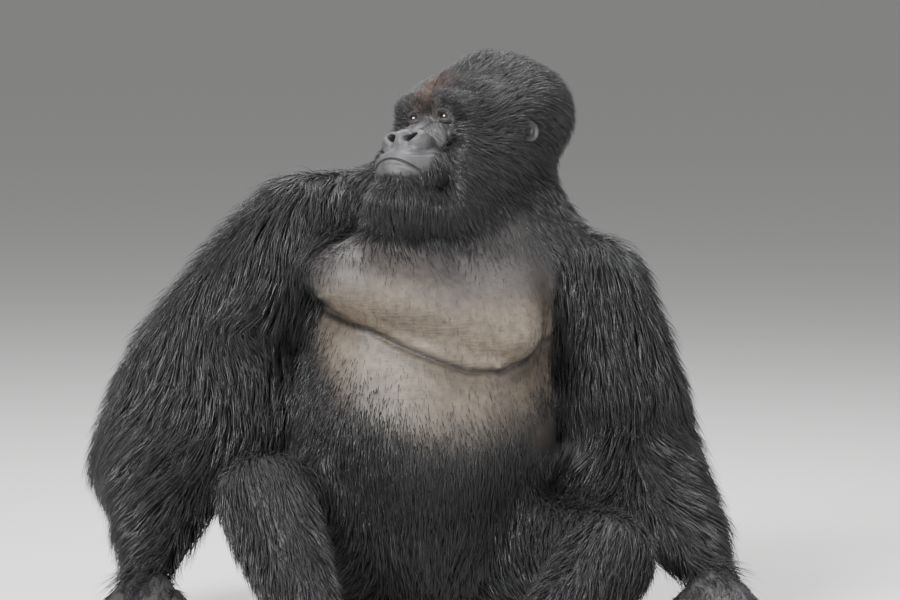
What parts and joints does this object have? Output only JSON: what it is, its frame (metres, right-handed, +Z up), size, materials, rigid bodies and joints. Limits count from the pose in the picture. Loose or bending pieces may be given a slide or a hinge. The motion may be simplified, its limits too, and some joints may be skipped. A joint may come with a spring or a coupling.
{
  "type": "silverback gorilla",
  "caption": "Life-size still model of a seated silverback gorilla, its head turned to its right and raised, hands resting on their knuckles beside it.",
  "frame": {"origin": "on the floor, under the middle of the model's bounding box", "axes": "+Z is up, the animal sits facing -Y, and +X is on its own left"},
  "size_m": [1.2082, 1.0136, 1.0443],
  "materials": {
    "coat": "near-black long hair with a soft blue-grey sheen, reddish brown on the forehead, thin over the grey-brown skin of the chest",
    "bare_skin": "dark grey wrinkled skin, slightly shiny",
    "eye": "wet dark brown eye"
  },
  "bodies": {
    "root": {"belly": "coat", "big_toe_left": "bare_skin", "big_toe_right": "bare_skin", "chest": "coat", "ear_left": "bare_skin", "ear_right": "bare_skin", "eye_left": "eye", "eye_right": "eye", "foot_left": "bare_skin", "foot_right": "bare_skin", "forearm_left": "coat", "forearm_right": "coat", "head": "coat", "hips": "coat", "index_finger_left": "bare_skin", "index_finger_right": "bare_skin", "little_finger_left": "bare_skin", "little_finger_right": "bare_skin", "middle_finger_left": "bare_skin", "middle_finger_right": "bare_skin", "neck": "coat", "palm_left": "bare_skin", "palm_right": "bare_skin", "ring_finger_left": "bare_skin", "ring_finger_right": "bare_skin", "shin_left": "coat", "shin_right": "coat", "thigh_left": "coat", "thigh_right": "coat", "thumb_left": "bare_skin", "thumb_right": "bare_skin", "toe_2_left": "bare_skin", "toe_2_right": "bare_skin", "toe_3_left": "bare_skin", "toe_3_right": "bare_skin", "toe_4_left": "bare_skin", "toe_4_right": "bare_skin", "toe_5_left": "bare_skin", "toe_5_right": "bare_skin", "upper_arm_left": "coat", "upper_arm_right": "coat"}
  },
  "joints": []
}
